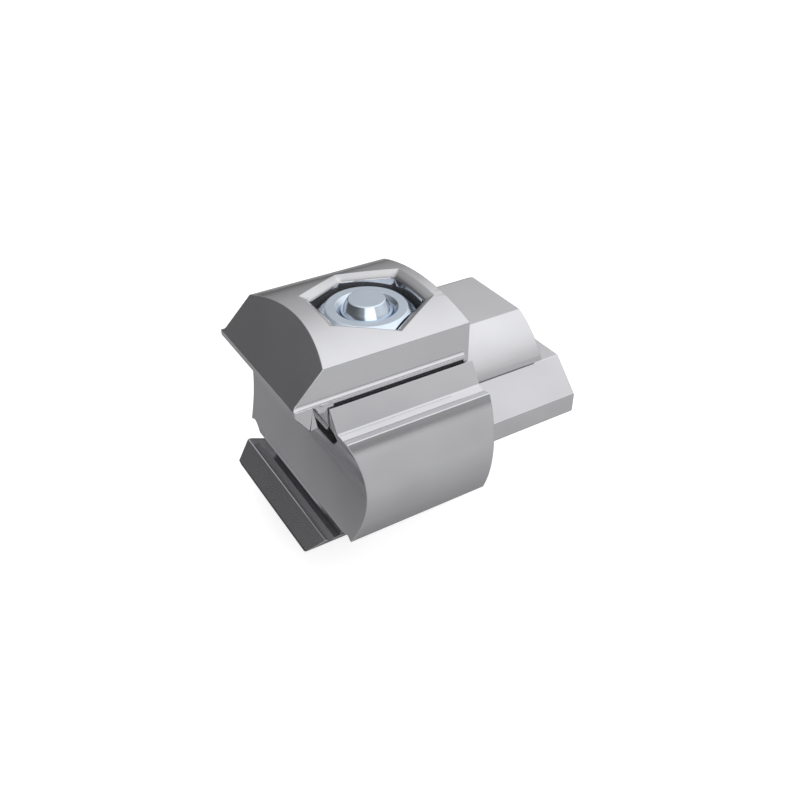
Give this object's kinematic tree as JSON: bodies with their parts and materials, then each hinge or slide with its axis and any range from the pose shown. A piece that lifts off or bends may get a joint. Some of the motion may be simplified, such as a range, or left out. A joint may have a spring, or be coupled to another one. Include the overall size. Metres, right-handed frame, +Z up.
{
  "type": "t-slot framing connector",
  "caption": "Clamp connector that continues an inserted crowned framing profile and grips a crossing profile with two screw-drawn claws.",
  "frame": {"origin": "middle of the overall length and width, at the height of the flat foot of the lower jaw", "axes": "+X along the inserted profile, from the claws to the spigot; +Y along the crossing profile; +Z up, along the screw from its head to the nut"},
  "size_m": [0.0354, 0.03, 0.0297],
  "materials": {
    "cast_body": "satin die cast",
    "cast_jaw": "satin die cast",
    "plated_steel": "bright zinc plated"
  },
  "bodies": {
    "body": {"clamp_body": "cast_body"},
    "upper": {"upper_jaw": "cast_jaw", "hex_nut": "plated_steel"},
    "lower": {"lower_jaw": "cast_jaw"},
    "screw": {"clamp_screw": "plated_steel"}
  },
  "joints": [
    {"name": "screw_turn", "type": "hinge", "parent": "lower", "child": "screw", "pos_m": [-0.00366, 0, 0], "axis": [0, 0, 1], "range_deg": [-900, 360]},
    {"name": "upper_slide", "type": "slide", "parent": "body", "child": "upper", "axis": [0, 0, 1], "range_m": [-0.0005, 0.00125]},
    {"name": "lower_slide", "type": "slide", "parent": "body", "child": "lower", "axis": [0, 0, 1], "range_m": [-0.00125, 0.0005]}
  ],
  "couplings": [
    {"joint": "screw_turn", "follows": "upper_slide", "rad_per_m": -12566},
    {"joint": "lower_slide", "follows": "upper_slide", "ratio": -1}
  ]
}
